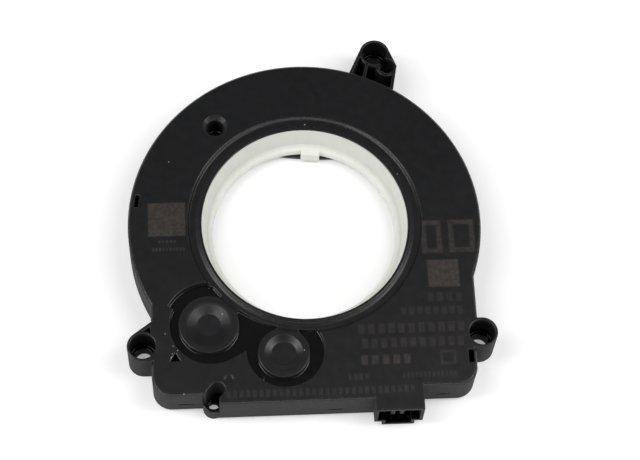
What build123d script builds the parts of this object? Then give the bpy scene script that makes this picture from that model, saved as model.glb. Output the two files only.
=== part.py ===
from build123d import *
from math import atan2, cos, degrees, hypot, pi, radians, sin, sqrt, tan
import os

os.makedirs("parts", exist_ok=True)

# Driving dimensions in millimetres. The origin is on the axis of the hub, in
# the rear seating plane. +Z points out of the front face, and the connector
# opens towards -Y.
wall = 1.2
face_thickness = 1.6
edge_chamfer = 0.5
rim_chamfer = 0.3
running_fit = 0.05
axial_play = 0.2
hub_air = 0.3
overshoot = 1.0
same_place = 0.01

# Gear train, which the size of the ring follows
module_size = 0.6
pressure_angle = 20.0
hub_teeth = 99
large_gear_teeth = 24
small_gear_teeth = 20
backlash = 0.06
large_gear_angle = -133.03
small_gear_angle = -100.99

# Outline of the housing, set out from the ring
ring_margin = 8.1
left_wall_inset = 5.4
right_wall_inset = 3.0
right_wall_step = 0.9
front_left_outset = 0.35
front_middle_step = 2.6
front_right_step = 0.4
front_step_x = -24.0
corner_radius = 4.7

# Stack through the thickness, from the rear plane to the face
cover_thickness = 0.9
board_boss_height = 1.3
board_thickness = 1.0
carrier_gap = 1.2
carrier_thickness = 0.9
tooth_width = 3.0
tooth_gap = 0.4
pocket_floor_thickness = 1.0
pocket_depth = 1.6

# Rear cover
cover_inset = 1.0
cover_bore_step = 1.04
skirt_gap = 0.1
skirt_thickness = 1.0
skirt_height = 2.4
cover_clearance = 0.25
upstand_thickness = 1.0
upstand_gap = 0.4
ear_half_angle = 17.5
ear_reach = 1.5
ear_angle = 85.5

# Hub, from the roots of its teeth inwards and up from its base
hub_rim = 0.95
hub_shoulder = 0.6
hub_mouth_setback = 0.16
hub_ledge_step = 1.05
hub_ledge_height = 4.2
hub_land_step = 1.54
land_top_height = 3.1
land_base_height = 1.15
hub_relief_step = 1.34
tongue_width = 4.9
tongue_reach = 1.26
tongue_root = 2.34
tongue_height = 3.3
tongue_angle = 83.3

# Bore of the front housing and the groove round it
lip_reach = 1.09
lip_land = 0.7
lip_drop = 0.2
lip_thickness = 0.35
groove_slope = 0.84
groove_floor_width = 1.55
groove_rim = 0.6
groove_depth = 0.7

# Measuring gears and their magnets
journal_radius = 2.0
journal_length = 1.3
gear_boss_radius = 3.8
gear_boss_length = 1.2
magnet_radius = 3.0
magnet_length = 2.5
magnet_fit = 0.02

# Domes over the measuring gears
large_dome_radius = 7.5
small_dome_radius = 6.45
large_dish_radius = 5.7
small_dish_radius = 4.8
large_dish_floor = 2.9
small_dish_floor = 3.1
dish_depth = 0.6
dome_collar_radius = 3.2

# Pocket round the domes, each dome joined to the ring by a bridge
large_pocket_radius = 10.4
large_pocket_shift = (0.6, -0.1)
wide_pocket_step = 0.9
wide_pocket_start = 88.0
wide_pocket_end = 153.0
small_pocket_radius = 9.75
small_pocket_shift = (0.4, 0.7)
pocket_ring_step = 0.3
pocket_low_angle = -66.0
large_bridge_width = 5.7
small_bridge_width = 5.3
pocket_rib_size = (0.3, 1.4, 0.3)
pocket_rib_place = (8.0, 228.0)
pocket_rib_turn = -12.0

# Lugs
lug_radius = 3.9
lug_mouth_radius = 3.3
lug_bore_radius = 2.25
lug_floor = 3.5
left_lug_reach = 2.15
left_lug_rise = 13.2
right_lug_reach = 1.0
right_lug_rise = 13.55
top_lug_reach = 7.84
top_lug_angle = 66.88
top_lug_drop = 1.0
web_thickness = 0.8
web_floor = 2.0
left_web_rise = 6.35
left_web_tangent = 128.0
top_web_angles = (72.3, 56.3)
top_web_tangents = (155.0, 25.0)
top_web_knee_shift = (5.65, -3.9)
top_rib_angle = 236.0
top_rib_turn = -15.0
relief_hole_shift = (3.05, -3.9)
relief_hole_radius = 2.1

# Locating slot, closed behind except for a smaller hole at its front end
slot_radius = 1.8
slot_wall = 0.85
slot_rear_shift = (0.55, 1.35)
slot_front_shift = (-0.6, 0.15)
slot_floor = 1.0
slot_hole_radius = 1.3
slot_hole_shift = (0.0, -0.3)
slot_rim_z = 4.9
slot_notch_lip = 0.3
slot_notch_width = 1.4

# Connector socket
socket_left = 15.2
socket_width = 12.1
socket_outset = 3.05
socket_base_z = 0.2
socket_step_z = 2.6
socket_step_inset = 2.0
socket_wall = 0.8
socket_depth = 9.0
socket_back = 1.6
key_left = 3.9
key_width = 3.2
key_height = 3.5
key_groove = 1.2
key_setback = 0.4
pin_size = 0.64
pin_hole_fit = 0.02
pin_pitch = 2.2
pin_count = 4
pin_key_gap = 0.88
pin_setback = 3.0
pin_leg_setback = 1.8
pin_tail = 0.7
pin_pad_fit = 0.05

# Board, carrier plate and the posts that hold them. A place on the board is its
# distance out from the ring's edge, and its angle.
board_margin = 0.3
board_upstand_gap = 0.75
board_rear_y = -10.0
carrier_right_x = 12.5
post_radius = 2.0
post_pin_radius = 0.9
post_pin_fit = 0.05
post_places = [(-5.26, -158.6), (4.13, -133.3), (0.33, -113.4)]
post_places += [(-6.19, -75.7), (3.09, -44.2), (-5.26, -21.4)]
carrier_post_count = 4
spare_post_place = (-9.39, 128.2)
spare_post_radius = 3.4

# Components on the board. A body is its length, width and height, and leads are
# their number on a side, their pitch, how far they reach and their width.
chip_standoff = 0.1
chip_chamfer = 0.15
lead_overlap = 0.2
end_step = 0.05
sensor_body = (3.9, 4.9, 0.7)
transceiver_body = (3.9, 4.9, 1.4)
small_outline_leads = (4, 1.27, 1.05, 0.42)
microcontroller_body = (7.0, 7.0, 1.3)
microcontroller_leads = (8, 0.8, 1.0, 0.35)
regulator_body = (6.5, 3.5, 1.6)
regulator_leads = (3, 2.3, 1.75, 0.7)
regulator_tab = (1, 2.3, 1.75, 3.0)
tantalum_body = (4.3, 6.9, 2.7)
tantalum_ends = (2.4, 0.8, 1.4)
diode_body = (4.2, 3.6, 2.1)
diode_ends = (0.8, 2.1, 1.1)
crystal_body = (4.5, 2.7, 0.9)
crystal_base = (5.0, 3.2, 0.4)
crystal_corner = 0.5
capacitor_size = (2.0, 1.25, 0.9)
capacitor_end = 0.5
resistor_size = (1.6, 0.8, 0.5)
resistor_end = 0.35
choke_size = (4.5, 3.2, 2.6)
choke_end = 0.7
microcontroller_place = (-6.97, -50.9)
transceiver_place = (-2.57, -38.3)
regulator_place = (-5.84, -30.0)
tantalum_place = (-7.88, -66.3)
crystal_place = (1.57, -51.0)
diode_socket_gap = 0.77
diode_rise = 4.67
choke_place = (8.62, -46.9)
choke_turn = 90.0
capacitor_places = [(-13.26, -55.0), (-11.6, -57.0), (-11.34, -44.5), (-9.33, -39.3)]
capacitor_places += [(0.34, -131.4), (-5.61, -110.0), (-4.49, -91.4), (-8.92, -86.2)]
capacitor_places += [(-11.16, -81.8), (-8.47, -149.6), (-10.27, -120.3), (-2.0, -89.3)]
resistor_places = [(-2.98, -60.0), (-1.73, -57.3), (-0.96, -30.9), (0.1, -33.1)]
resistor_places += [(1.22, -35.1), (-2.88, -119.1), (-0.06, -122.3), (-1.37, -95.9)]
resistor_places += [(-0.35, -103.6), (-9.89, -110.0), (-3.07, -81.8), (-1.56, -78.0)]

# Holes and windows in the face
dimple_radius = 1.6
dimple_depth = 3.0
gate_recess_radius = 1.1
gate_recess_depth = 0.35
gate_recess_shift = (2.8, 2.4)
core_mouth_radius = 3.1
core_hole_radius = 2.1
core_hole_depth = 7.0
core_mouth_depth = 0.9
face_window_length = 3.4
left_face_window_angle = 170.3
left_face_window_width = 1.1
left_face_window_inset = 1.75
right_face_window_rise = 7.35
right_face_window_width = 1.4
right_face_window_inset = 1.3
face_window_depth = 4.0

# Snap windows in the walls and the hooks of the cover
window_width = 3.6
window_height = 0.8
window_rise = 0.8
hook_clearance = 0.15
hook_side_gap = 0.2
hook_bite = 0.8
front_window_x = [-31.5, 5.6, 32.6]
ring_window_angles = [35.0, 100.0, 145.0]

# Derived heights
wall_base_z = cover_thickness
board_base_z = cover_thickness + board_boss_height
board_top_z = board_base_z + board_thickness
carrier_base_z = board_top_z + carrier_gap
carrier_top_z = carrier_base_z + carrier_thickness
tooth_base_z = carrier_top_z + axial_play
tooth_top_z = tooth_base_z + tooth_width
dome_collar_z = tooth_top_z + axial_play / 2
pocket_underside_z = tooth_top_z + tooth_gap
pocket_floor_z = pocket_underside_z + pocket_floor_thickness
height = pocket_floor_z + pocket_depth
ceiling_z = height - face_thickness
lip_base_z = height - lip_drop - lip_thickness
hub_base_z = cover_thickness + axial_play
hub_ledge_z = hub_base_z + hub_ledge_height
land_top_z = hub_base_z + land_top_height
land_base_z = hub_base_z + land_base_height
tongue_top_z = hub_base_z + tongue_height
shoulder_z = ceiling_z - axial_play
hub_top_z = lip_base_z - axial_play / 2
window_base_z = cover_thickness + skirt_height + window_rise
hook_top_z = window_base_z + window_height - hook_clearance
pin_z = height - socket_wall - key_height - pin_key_gap - pin_size / 2

# Derived radii
addendum = module_size
dedendum = 1.25 * module_size
large_distance = module_size * (hub_teeth + large_gear_teeth) / 2
small_distance = module_size * (hub_teeth + small_gear_teeth) / 2
ring_radius = large_distance + ring_margin
sleeve_radius = module_size * hub_teeth / 2 - dedendum - hub_rim
neck_radius = sleeve_radius - hub_shoulder
lip_radius = neck_radius - lip_reach
hub_mouth_radius = lip_radius - hub_mouth_setback
hub_ledge_radius = hub_mouth_radius - hub_ledge_step
land_radius = hub_ledge_radius - hub_land_step
hub_relief_radius = land_radius + hub_relief_step
cover_bore_radius = land_radius + cover_bore_step
tongue_radius = land_radius - tongue_reach
tongue_root_radius = land_radius + tongue_root
groove_inner_radius = lip_radius + lip_land + groove_slope
groove_floor_radius = groove_inner_radius + groove_floor_width
groove_outer_radius = groove_floor_radius + groove_rim
pocket_ring_radius = groove_floor_radius - pocket_ring_step
wide_pocket_radius = large_pocket_radius + wide_pocket_step
board_inner_radius = sleeve_radius + running_fit + upstand_thickness + board_upstand_gap
pin_pad_hole_radius = pin_size / sqrt(2) + pin_pad_fit

# Derived places
left_wall_x = left_wall_inset - ring_radius
right_wall_x = ring_radius - right_wall_inset
right_lower_wall_x = right_wall_x - right_wall_step
front_left_y = -ring_radius - front_left_outset
front_middle_y = front_left_y - front_middle_step
front_right_y = front_left_y + front_right_step
front_window_y = [front_left_y, front_middle_y, front_right_y]
socket_front_y = front_middle_y - socket_outset
socket_rear_y = socket_front_y + socket_depth + socket_back
pin_leg_y = socket_rear_y + pin_leg_setback
skirt_outset = wall + skirt_gap
board_outset = skirt_outset + skirt_thickness + board_margin
hook_width = window_width - 2 * hook_side_gap
left_lug = (left_wall_x - left_lug_reach, front_left_y + left_lug_rise)
right_lug = (right_wall_x + right_lug_reach, front_right_y + right_lug_rise)
left_web_top_y = left_lug[1] + left_web_rise
slot_rear = (front_step_x + slot_rear_shift[0], front_left_y + slot_rear_shift[1])
slot_front = (front_step_x + slot_front_shift[0], front_left_y + slot_front_shift[1])


def polar(radius, angle, centre=(0.0, 0.0)):
    """Point at a radius and an angle in degrees about a centre."""
    return (centre[0] + radius * cos(radians(angle)), centre[1] + radius * sin(radians(angle)))


def shifted(point, shift):
    """Point moved by a shift in x and y."""
    return (point[0] + shift[0], point[1] + shift[1])


def on_board(place):
    """Point at a distance out from the ring's edge and an angle."""
    return polar(ring_radius + place[0], place[1])


large_centre = polar(large_distance, large_gear_angle)
small_centre = polar(small_distance, small_gear_angle)
large_pocket_centre = shifted(large_centre, large_pocket_shift)
small_pocket_centre = shifted(small_centre, small_pocket_shift)
top_lug = polar(ring_radius + top_lug_reach, top_lug_angle)
top_web_knee = shifted(top_lug, top_web_knee_shift)
relief_hole_centre = shifted(top_lug, relief_hole_shift)
board_posts = [on_board(place) for place in post_places]
carrier_posts = board_posts[:carrier_post_count]
spare_post = on_board(spare_post_place)
dimple_post = board_posts[1]
diode_left_x = socket_left + socket_width + diode_socket_gap
diode_centre = (diode_left_x + diode_body[0] / 2, diode_rise - ring_radius)
# Each snap: x and y on the outer face of the wall, and the way it faces
snaps = [(x, y, -90.0) for x, y in zip(front_window_x, front_window_y)]
snaps += [(*polar(ring_radius, angle), angle) for angle in ring_window_angles]
# Each inner catch is reached through a window in the face: its centre, turn and width
face_windows = [
    (
        polar(ring_radius - left_face_window_inset, left_face_window_angle),
        left_face_window_angle,
        left_face_window_width,
    ),
    (
        (right_lower_wall_x - right_face_window_inset, front_right_y + right_face_window_rise),
        0.0,
        right_face_window_width,
    ),
]


def draw_outline(inset=0.0):
    """Outline of the housing from the front, or a smaller one inside it."""
    left_x = left_wall_x + inset
    right_x = right_wall_x - inset
    lower_x = right_lower_wall_x - inset
    left_y = front_left_y + inset
    middle_y = front_middle_y + inset
    right_y = front_right_y + inset
    step_x = front_step_x + inset
    socket_x = socket_left + socket_width / 2
    with BuildSketch() as outline:
        Circle(ring_radius - inset)
        with BuildLine() as path:
            Polyline(
                (left_x, 0),
                (left_x, left_y),
                (step_x, left_y),
                (step_x, middle_y),
                (socket_x, middle_y),
                (socket_x, right_y),
                (lower_x, right_y),
                (lower_x, right_lug[1]),
                (right_x, right_lug[1]),
                (right_x, 0),
                close=True,
            )
        make_face(path.edges())
        rounded = ((left_x, left_y), (lower_x, right_y))
        corners = [
            vertex
            for vertex in outline.vertices()
            if min(hypot(vertex.X - x, vertex.Y - y) for x, y in rounded) < same_place
        ]
        fillet(corners, corner_radius - inset)
    add(outline.sketch)


def draw_slot(radius):
    """Round-ended slot of the locating hole."""
    centre = ((slot_rear[0] + slot_front[0]) / 2, (slot_rear[1] + slot_front[1]) / 2)
    run = (slot_rear[0] - slot_front[0], slot_rear[1] - slot_front[1])
    with Locations(centre):
        SlotCenterToCenter(hypot(*run), 2 * radius, rotation=degrees(atan2(run[1], run[0])))


def draw_pocket(margin):
    """Pocket round the two domes, grown by a margin."""
    corner = polar(small_pocket_radius, 180, small_pocket_centre)
    with BuildSketch() as pocket:
        with Locations(large_pocket_centre):
            Circle(large_pocket_radius)
        with Locations(small_pocket_centre):
            Circle(small_pocket_radius)
        with BuildLine() as between:
            Polyline(
                large_centre,
                polar(large_pocket_radius, pocket_low_angle, large_pocket_centre),
                corner,
                small_centre,
                polar(pocket_ring_radius - overshoot, small_gear_angle),
                polar(pocket_ring_radius - overshoot, large_gear_angle),
                close=True,
            )
        make_face(between.edges())
        with BuildLine() as sector:
            arc = CenterArc(
                large_centre, wide_pocket_radius, wide_pocket_start, wide_pocket_end - wide_pocket_start
            )
            Line(large_centre, arc @ 0)
            Line(arc @ 1, large_centre)
        make_face(sector.edges())
        if margin:
            offset(amount=margin)
        Circle(pocket_ring_radius - margin, mode=Mode.SUBTRACT)
    add(pocket.sketch)


def draw_left_web():
    """Triangular web between the left lug and the ring."""
    with BuildLine() as path:
        Polyline(
            polar(lug_radius, left_web_tangent, left_lug),
            (left_wall_x, left_web_top_y),
            (left_wall_x + wall / 2, left_web_top_y),
            (left_wall_x + wall / 2, left_lug[1]),
            left_lug,
            close=True,
        )
    make_face(path.edges())


def draw_top_lug():
    """Top lug with the webs that run down to the ring."""
    with BuildLine() as path:
        Polyline(
            polar(lug_radius, top_web_tangents[0], top_lug),
            polar(ring_radius, top_web_angles[0]),
            polar(ring_radius - wall / 4, top_web_angles[0]),
            polar(ring_radius - wall / 4, top_web_angles[1]),
            polar(ring_radius, top_web_angles[1]),
            top_web_knee,
            polar(lug_radius, top_web_tangents[1], top_lug),
            close=True,
        )
    make_face(path.edges())
    with Locations(top_lug):
        Circle(lug_radius)


def draw_cover_recesses(gap):
    """Places where the lugs and the locating slot reach inside the outline."""
    with Locations(left_lug, right_lug):
        Circle(lug_radius + gap)
    draw_slot(slot_radius + slot_wall + gap)


def draw_socket_recess(side_inset, gap):
    """Place where the connector socket reaches inside the outline."""
    with Locations((socket_left + socket_width / 2, (socket_front_y + socket_rear_y) / 2)):
        Rectangle(socket_width - 2 * side_inset + 2 * gap, socket_depth + socket_back + 2 * gap)


def involute(angle):
    return tan(angle) - angle


def tooth_half_angle(teeth, radius):
    """Half the angle, in degrees, that a tooth covers at a radius."""
    pitch_radius = module_size * teeth / 2
    base_radius = pitch_radius * cos(radians(pressure_angle))
    half_at_pitch = pi / (2 * teeth) - backlash / 2 / pitch_radius
    flank_angle = 0.0
    if radius > base_radius:
        flank_angle = atan2(sqrt(radius ** 2 - base_radius ** 2), base_radius)
    return degrees(half_at_pitch + involute(radians(pressure_angle)) - involute(flank_angle))


def draw_gear(teeth, first_tooth_angle):
    """Spur gear outline about the sketch origin."""
    pitch_radius = module_size * teeth / 2
    base_radius = pitch_radius * cos(radians(pressure_angle))
    root_radius = pitch_radius - dedendum
    tip_radius = pitch_radius + addendum
    flank_start = max(root_radius, base_radius)
    flank_radii = [flank_start, (flank_start + tip_radius) / 2, tip_radius]
    root_angle = tooth_half_angle(teeth, root_radius)
    edges = []
    for tooth in range(teeth):
        centre = first_tooth_angle + tooth * 360 / teeth
        rise = [polar(radius, centre - tooth_half_angle(teeth, radius)) for radius in flank_radii]
        fall = [polar(radius, centre + tooth_half_angle(teeth, radius)) for radius in flank_radii]
        root = polar(root_radius, centre + root_angle)
        next_root = polar(root_radius, centre + 360 / teeth - root_angle)
        path = [*rise, *reversed(fall)]
        edges += [Edge.make_line(start, end) for start, end in zip(path, path[1:])]
        if flank_start > root_radius:
            edges.append(Edge.make_line(fall[0], root))
            edges.append(Edge.make_line(polar(root_radius, centre - root_angle), rise[0]))
        edges.append(Edge.make_line(root, next_root))
    make_face(edges)


def meshed_tooth_angle(direction, teeth):
    """Angle of a tooth on a gear in mesh with the hub, seen in a direction from it."""
    offset_angle = direction % (360 / hub_teeth)
    gap_angle = direction + 180 + offset_angle * hub_teeth / teeth
    return gap_angle + 180 / teeth


# Front housing: a tray with walls down to the cover
with BuildPart() as front_housing:
    with BuildSketch(Plane.XY.offset(wall_base_z)):
        draw_outline()
    extrude(amount=height - wall_base_z)
    chamfer(front_housing.faces().sort_by(Axis.Z)[-1].outer_wire().edges(), edge_chamfer)
    with BuildSketch(Plane.XY.offset(wall_base_z)):
        draw_outline(wall)
    extrude(amount=ceiling_z - wall_base_z, mode=Mode.SUBTRACT)

    # Floor under the pocket, and the collars that the measuring gears run against
    with BuildSketch(Plane.XY.offset(pocket_underside_z)):
        draw_pocket(pocket_floor_thickness)
        Circle(sleeve_radius + hub_air, mode=Mode.SUBTRACT)
    extrude(amount=ceiling_z - pocket_underside_z)
    with BuildSketch(Plane.XY.offset(dome_collar_z)):
        with Locations(large_centre, small_centre):
            Circle(dome_collar_radius)
    extrude(amount=ceiling_z - dome_collar_z)

    # Posts, with the pins that pass through the carrier plate and the board
    for place in board_posts:
        post_base_z = carrier_top_z if place in carrier_posts else board_top_z
        with BuildSketch(Plane.XY.offset(post_base_z)):
            with Locations(place):
                Circle(post_radius)
        extrude(amount=ceiling_z - post_base_z)
        with BuildSketch(Plane.XY.offset(wall_base_z + axial_play)):
            with Locations(place):
                Circle(post_pin_radius)
        extrude(amount=post_base_z - wall_base_z - axial_play)
    with BuildSketch(Plane.XY.offset(wall_base_z)):
        with Locations(spare_post):
            Circle(spare_post_radius)
    extrude(amount=ceiling_z - wall_base_z)

    # Lugs, webs, locating slot and connector socket as solid bodies
    with BuildSketch():
        with Locations(left_lug, right_lug):
            Circle(lug_radius)
        with Locations((right_wall_x - wall / 2, right_lug[1])):
            Rectangle(right_lug[0] - right_wall_x + wall / 2, lug_radius, align=(Align.MIN, Align.MIN))
        with Locations((right_lower_wall_x - wall / 2, right_lug[1])):
            lower_length = right_lug[0] - right_lower_wall_x + wall / 2
            Rectangle(lower_length, lug_radius, align=(Align.MIN, Align.MAX))
        with Locations((left_wall_x + wall / 2, left_lug[1] - lug_radius)):
            Rectangle(left_wall_x + wall / 2 - left_lug[0], lug_radius, align=(Align.MAX, Align.MIN))
        draw_left_web()
    extrude(amount=height)
    with BuildSketch():
        draw_top_lug()
    extrude(amount=height - top_lug_drop)
    with BuildSketch():
        draw_slot(slot_radius + slot_wall)
    extrude(amount=height)
    with BuildSketch(Plane.XY.offset(socket_step_z)):
        draw_socket_recess(0, 0)
    extrude(amount=height - socket_step_z)
    with BuildSketch(Plane.XY.offset(socket_base_z)):
        draw_socket_recess(socket_step_inset, 0)
    extrude(amount=socket_step_z - socket_base_z)

    # Bore with its thin lip, and the shallow groove round it
    with BuildSketch():
        Circle(neck_radius + running_fit)
    extrude(amount=lip_base_z, mode=Mode.SUBTRACT)
    with BuildSketch():
        Circle(lip_radius)
    extrude(amount=height, mode=Mode.SUBTRACT)
    with BuildSketch(Plane.XZ):
        with BuildLine() as groove:
            Polyline(
                (lip_radius - overshoot, height - lip_drop),
                (lip_radius + lip_land, height - lip_drop),
                (groove_inner_radius, height - groove_depth),
                (groove_floor_radius, height - groove_depth),
                (groove_outer_radius, height),
                (groove_outer_radius, height + overshoot),
                (lip_radius - overshoot, height + overshoot),
                close=True,
            )
        make_face(groove.edges())
    revolve(axis=Axis.Z, mode=Mode.SUBTRACT)

    # Pocket left round the domes, and the dishes in the domes
    with BuildSketch(Plane.XY.offset(pocket_floor_z)):
        draw_pocket(0)
        for centre, dome, angle, distance, bridge_width in (
            (large_centre, large_dome_radius, large_gear_angle, large_distance, large_bridge_width),
            (small_centre, small_dome_radius, small_gear_angle, small_distance, small_bridge_width),
        ):
            with Locations(centre):
                Circle(dome, mode=Mode.SUBTRACT)
            reach = distance - pocket_ring_radius + overshoot
            with Locations(polar(distance - reach / 2, angle)):
                Rectangle(reach, bridge_width, rotation=angle, mode=Mode.SUBTRACT)
    extrude(amount=pocket_depth, mode=Mode.SUBTRACT)
    with BuildSketch(Plane.XY.offset(pocket_floor_z)):
        with Locations(polar(*pocket_rib_place, small_centre)):
            Rectangle(*pocket_rib_size[:2], rotation=pocket_rib_turn)
    extrude(amount=pocket_rib_size[2])
    for centre, rim, floor in (
        (large_centre, large_dish_radius, large_dish_floor),
        (small_centre, small_dish_radius, small_dish_floor),
    ):
        with BuildSketch(Plane.XY.offset(height)):
            with Locations(centre):
                Circle(rim)
        with BuildSketch(Plane.XY.offset(height - dish_depth)):
            with Locations(centre):
                Circle(floor)
        loft(mode=Mode.SUBTRACT)
    with BuildSketch(Plane.XY.offset(dome_collar_z)):
        with Locations(large_centre, small_centre):
            Circle(journal_radius + running_fit)
    extrude(amount=journal_length, mode=Mode.SUBTRACT)

    # Screw holes of the lugs: a wide mouth for the head over a bore for the shank
    with BuildSketch(Plane.XY.offset(lug_floor)):
        with Locations(left_lug, right_lug, top_lug):
            Circle(lug_mouth_radius)
    extrude(amount=height - lug_floor, mode=Mode.SUBTRACT)
    with BuildSketch():
        with Locations(left_lug, right_lug, top_lug):
            Circle(lug_bore_radius)
    extrude(amount=lug_floor, mode=Mode.SUBTRACT)

    # Hollows that leave thin webs beside the left and the top lug
    with BuildSketch(Plane.XY.offset(web_floor)):
        draw_left_web()
        offset(amount=-web_thickness, kind=Kind.INTERSECTION, mode=Mode.REPLACE)
        with Locations(left_lug):
            Circle(lug_radius, mode=Mode.SUBTRACT)
        with Locations((left_wall_x, left_lug[1])):
            Rectangle(2 * wall, 4 * lug_radius, align=(Align.MIN, Align.CENTER), mode=Mode.SUBTRACT)
    extrude(amount=height - web_floor, mode=Mode.SUBTRACT)
    with BuildSketch(Plane.XY.offset(web_floor)):
        draw_top_lug()
        offset(amount=-web_thickness, kind=Kind.INTERSECTION, mode=Mode.REPLACE)
        Circle(ring_radius, mode=Mode.SUBTRACT)
        with Locations(top_lug):
            Circle(lug_radius, mode=Mode.SUBTRACT)
        with Locations(polar(lug_radius, top_rib_angle, top_lug)):
            Rectangle(web_thickness, 4 * lug_radius, rotation=top_rib_turn, mode=Mode.SUBTRACT)
        with Locations(relief_hole_centre):
            Circle(relief_hole_radius + web_thickness, mode=Mode.SUBTRACT)
            Circle(relief_hole_radius)
    extrude(amount=height - web_floor, mode=Mode.SUBTRACT)

    # Locating slot with a hole in its floor, open to the front above its rim
    with BuildSketch(Plane.XY.offset(slot_floor)):
        draw_slot(slot_radius)
    extrude(amount=height - slot_floor, mode=Mode.SUBTRACT)
    with BuildSketch():
        with Locations(shifted(slot_front, slot_hole_shift)):
            Circle(slot_hole_radius)
    extrude(amount=slot_floor, mode=Mode.SUBTRACT)
    with BuildSketch(Plane.XY.offset(slot_rim_z)):
        with BuildLine() as notch:
            Polyline(
                (slot_front[0] - slot_radius - slot_wall, front_left_y + slot_notch_lip),
                (slot_front[0], front_left_y + slot_notch_lip),
                (slot_front[0] + slot_notch_width, slot_front[1]),
                (slot_front[0] + slot_notch_width, front_middle_y - overshoot),
                (slot_front[0] - slot_radius - slot_wall, front_middle_y - overshoot),
                close=True,
            )
        make_face(notch.edges())
    extrude(amount=height - slot_rim_z, mode=Mode.SUBTRACT)

    # Connector socket with its hanging key, and the holes for the pins
    with BuildSketch(Plane.XZ.offset(-socket_front_y)):
        with Locations((socket_left + socket_width / 2, height - socket_wall)):
            Rectangle(
                socket_width - 2 * socket_wall,
                height - socket_step_z - 2 * socket_wall,
                align=(Align.CENTER, Align.MAX),
            )
            Rectangle(
                socket_width - 2 * socket_step_inset - 2 * socket_wall,
                height - socket_base_z - 2 * socket_wall,
                align=(Align.CENTER, Align.MAX),
            )
        with Locations((socket_left + key_left, height - socket_wall)):
            Rectangle(key_width, key_height, align=(Align.MIN, Align.MAX), mode=Mode.SUBTRACT)
    extrude(amount=-socket_depth, mode=Mode.SUBTRACT)
    with BuildSketch(Plane.XZ.offset(-socket_front_y)):
        with Locations((socket_left + key_left, height - socket_wall)):
            Rectangle(key_width, key_height, align=(Align.MIN, Align.MAX))
    extrude(amount=-key_setback, mode=Mode.SUBTRACT)
    with BuildSketch(Plane.XZ.offset(-socket_front_y)):
        with Locations((socket_left + key_left + key_width / 2, height - socket_wall - key_height)):
            Rectangle(key_groove, key_height - socket_wall, align=(Align.CENTER, Align.MIN))
    extrude(amount=-socket_depth, mode=Mode.SUBTRACT)
    with BuildSketch(Plane.XZ.offset(-socket_rear_y)):
        with Locations((socket_left + socket_width / 2, pin_z)):
            with GridLocations(pin_pitch, 1, pin_count, 1):
                Rectangle(pin_size + 2 * pin_hole_fit, pin_size + 2 * pin_hole_fit)
    extrude(amount=socket_back, mode=Mode.SUBTRACT)

    # Snap windows in the walls, and the windows in the face over the inner catches
    for x, y, angle in snaps:
        with BuildSketch(Plane.XY.offset(window_base_z)):
            with Locations((x, y)):
                Rectangle(2 * wall + 2 * hook_clearance, window_width, rotation=angle)
        extrude(amount=window_height, mode=Mode.SUBTRACT)
    for centre, angle, width in face_windows:
        with BuildSketch(Plane.XY.offset(height - face_window_depth)):
            with Locations(centre):
                Rectangle(width, face_window_length, rotation=angle)
        extrude(amount=face_window_depth, mode=Mode.SUBTRACT)

    # Core holes in the face over two of the posts, one of them three-cornered
    with BuildSketch(Plane.XY.offset(height - gate_recess_depth)):
        with Locations(shifted(slot_rear, gate_recess_shift)):
            Circle(gate_recess_radius)
    extrude(amount=gate_recess_depth, mode=Mode.SUBTRACT)
    with BuildSketch(Plane.XY.offset(height - dimple_depth)):
        with Locations(dimple_post):
            RegularPolygon(dimple_radius, 3, rotation=90)
    extrude(amount=dimple_depth, mode=Mode.SUBTRACT)
    with Locations((*spare_post, height)):
        Hole(core_hole_radius, depth=core_hole_depth)
    with BuildSketch(Plane.XY.offset(height)):
        with Locations(spare_post):
            Circle(core_mouth_radius)
    with BuildSketch(Plane.XY.offset(height - core_mouth_depth)):
        with Locations(spare_post):
            Circle(core_hole_radius)
    loft(mode=Mode.SUBTRACT)

    # Fine chamfer round the openings in the face, but not along the groove
    face = front_housing.faces().sort_by(Axis.Z)[-1]
    outer_edges = face.outer_wire().edges()
    rims = []
    for edge in face.edges():
        x, y, _ = edge @ 0.5
        on_groove = abs(hypot(x, y) - groove_outer_radius) < same_place
        by_slot = hypot(x - slot_rear[0], y - slot_rear[1]) < 2 * slot_radius
        if not on_groove and (by_slot or edge not in outer_edges):
            rims.append(edge)
    chamfer(rims, rim_chamfer)

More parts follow.
